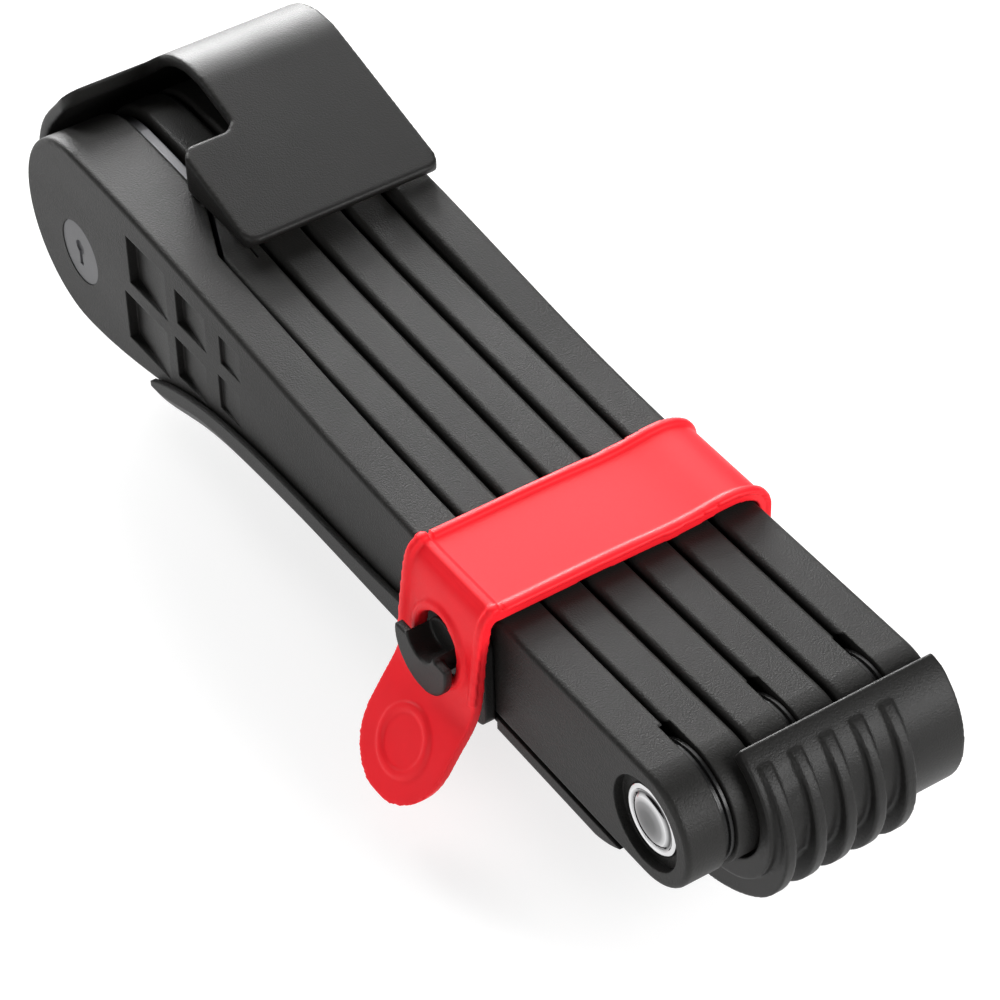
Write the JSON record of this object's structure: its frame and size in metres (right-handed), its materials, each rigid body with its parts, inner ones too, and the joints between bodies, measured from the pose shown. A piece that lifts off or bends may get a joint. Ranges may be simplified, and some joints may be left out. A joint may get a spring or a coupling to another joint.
{
  "type": "folding bike lock with frame carrier",
  "caption": "Folding bike lock: riveted steel links in black plastic sheaths, stowed in a frame-mounted carrier with a hood, a ribbed heel cup and a rubber strap with a pull tab.",
  "frame": {"origin": "middle of the two frame bolts, on the underside of the carrier's pads", "axes": "+X along the links from the lock head to the heel cup, +Y across the stack from the outer link, +Z away from the bicycle frame"},
  "size_m": [0.2248, 0.0752, 0.0667],
  "materials": {
    "sheath": "fine matte grain",
    "carrier": "satin",
    "strap_silicone": "satin silicone",
    "pad_rubber": "matte",
    "hardened_steel": "ground",
    "rivet_steel": "turned",
    "washer_nylon": "smooth nylon",
    "cap_chrome": "polished",
    "housing": "cast",
    "cylinder_brass": "turned",
    "badge": "satin"
  },
  "bodies": {
    "carrier": {"carrier_tray": "carrier", "strap_stud": "carrier", "hood": "carrier", "heel_cup": "carrier", "strap_band": "strap_silicone", "strap_anchor": "carrier", "mount_saddle": "carrier", "mount_pad_front": "pad_rubber", "mount_pad_rear": "pad_rubber", "saddle_screw_front": "rivet_steel", "saddle_screw_rear": "rivet_steel"},
    "strap_flap": {"strap_tab": "strap_silicone"},
    "link_6": {"link_6_core": "hardened_steel", "link_6_sheath": "sheath", "rivet_cap_right": "cap_chrome"},
    "link_5": {"link_5_core": "hardened_steel", "link_5_sheath": "sheath", "rivet_5_6": "rivet_steel", "washer_5_6": "washer_nylon"},
    "link_4": {"link_4_core": "hardened_steel", "link_4_sheath": "sheath", "rivet_4_5": "rivet_steel", "washer_4_5": "washer_nylon"},
    "link_3": {"link_3_core": "hardened_steel", "link_3_sheath": "sheath", "rivet_3_4": "rivet_steel", "washer_3_4": "washer_nylon"},
    "link_2": {"link_2_core": "hardened_steel", "link_2_sheath": "sheath", "rivet_2_3": "rivet_steel", "washer_2_3": "washer_nylon"},
    "link_1": {"link_1_core": "hardened_steel", "link_1_sheath": "sheath", "rivet_1_2": "rivet_steel", "washer_1_2": "washer_nylon", "rivet_cap_left": "cap_chrome", "lock_housing": "housing", "lock_cylinder": "cylinder_brass", "keyhole_badge": "badge", "bolt_spring": "rivet_steel"},
    "plug": {"cylinder_plug": "cylinder_brass", "plug_cam": "rivet_steel"},
    "bolt": {"locking_bolt": "hardened_steel"},
    "cover": {"keyway_cover": "sheath"}
  },
  "joints": [
    {"name": "lock_out", "type": "slide", "parent": "carrier", "child": "link_6", "axis": [0.766, 0, 0.6428], "range_m": [0, 0.25], "deforming": ["strap_band", "strap_tab", "heel_cup", "hood"]},
    {"name": "fold_5_6", "type": "hinge", "parent": "link_6", "child": "link_5", "pos_m": [0.091, 0, 0.035], "axis": [0, 1, 0], "range_deg": [0, 165]},
    {"name": "fold_4_5", "type": "hinge", "parent": "link_5", "child": "link_4", "pos_m": [-0.092, 0, 0.035], "axis": [0, -1, 0], "range_deg": [0, 165]},
    {"name": "fold_3_4", "type": "hinge", "parent": "link_4", "child": "link_3", "pos_m": [0.091, 0, 0.035], "axis": [0, 1, 0], "range_deg": [0, 165]},
    {"name": "fold_2_3", "type": "hinge", "parent": "link_3", "child": "link_2", "pos_m": [-0.092, 0, 0.035], "axis": [0, -1, 0], "range_deg": [0, 165]},
    {"name": "fold_1_2", "type": "hinge", "parent": "link_2", "child": "link_1", "pos_m": [0.091, 0, 0.035], "axis": [0, 1, 0], "range_deg": [0, 165]},
    {"name": "strap_peel", "type": "hinge", "parent": "carrier", "child": "strap_flap", "pos_m": [0.03935, -0.02668, 0.0486], "axis": [-1, 0, 0], "range_deg": [0, 150]},
    {"name": "plug_turn", "type": "hinge", "parent": "link_1", "child": "plug", "pos_m": [-0.095, -0.01833, 0.028], "axis": [1, 0, 0], "range_deg": [0, 90]},
    {"name": "bolt_slide", "type": "slide", "parent": "link_1", "child": "bolt", "axis": [0, 0, 1], "range_m": [0, 0.004], "deforming": ["bolt_spring"]},
    {"name": "cover_slide", "type": "hinge", "parent": "link_1", "child": "cover", "pos_m": [-0.092, -0.01833, 0.035], "axis": [0, -1, 0], "range_deg": [0, 36]}
  ],
  "couplings": [
    {"joint": "fold_5_6", "follows": "lock_out", "rad_per_m": 11.519},
    {"joint": "fold_4_5", "follows": "lock_out", "rad_per_m": 11.519},
    {"joint": "fold_3_4", "follows": "lock_out", "rad_per_m": 11.519},
    {"joint": "fold_2_3", "follows": "lock_out", "rad_per_m": 11.519},
    {"joint": "plug_turn", "follows": "bolt_slide", "rad_per_m": 392.6}
  ]
}
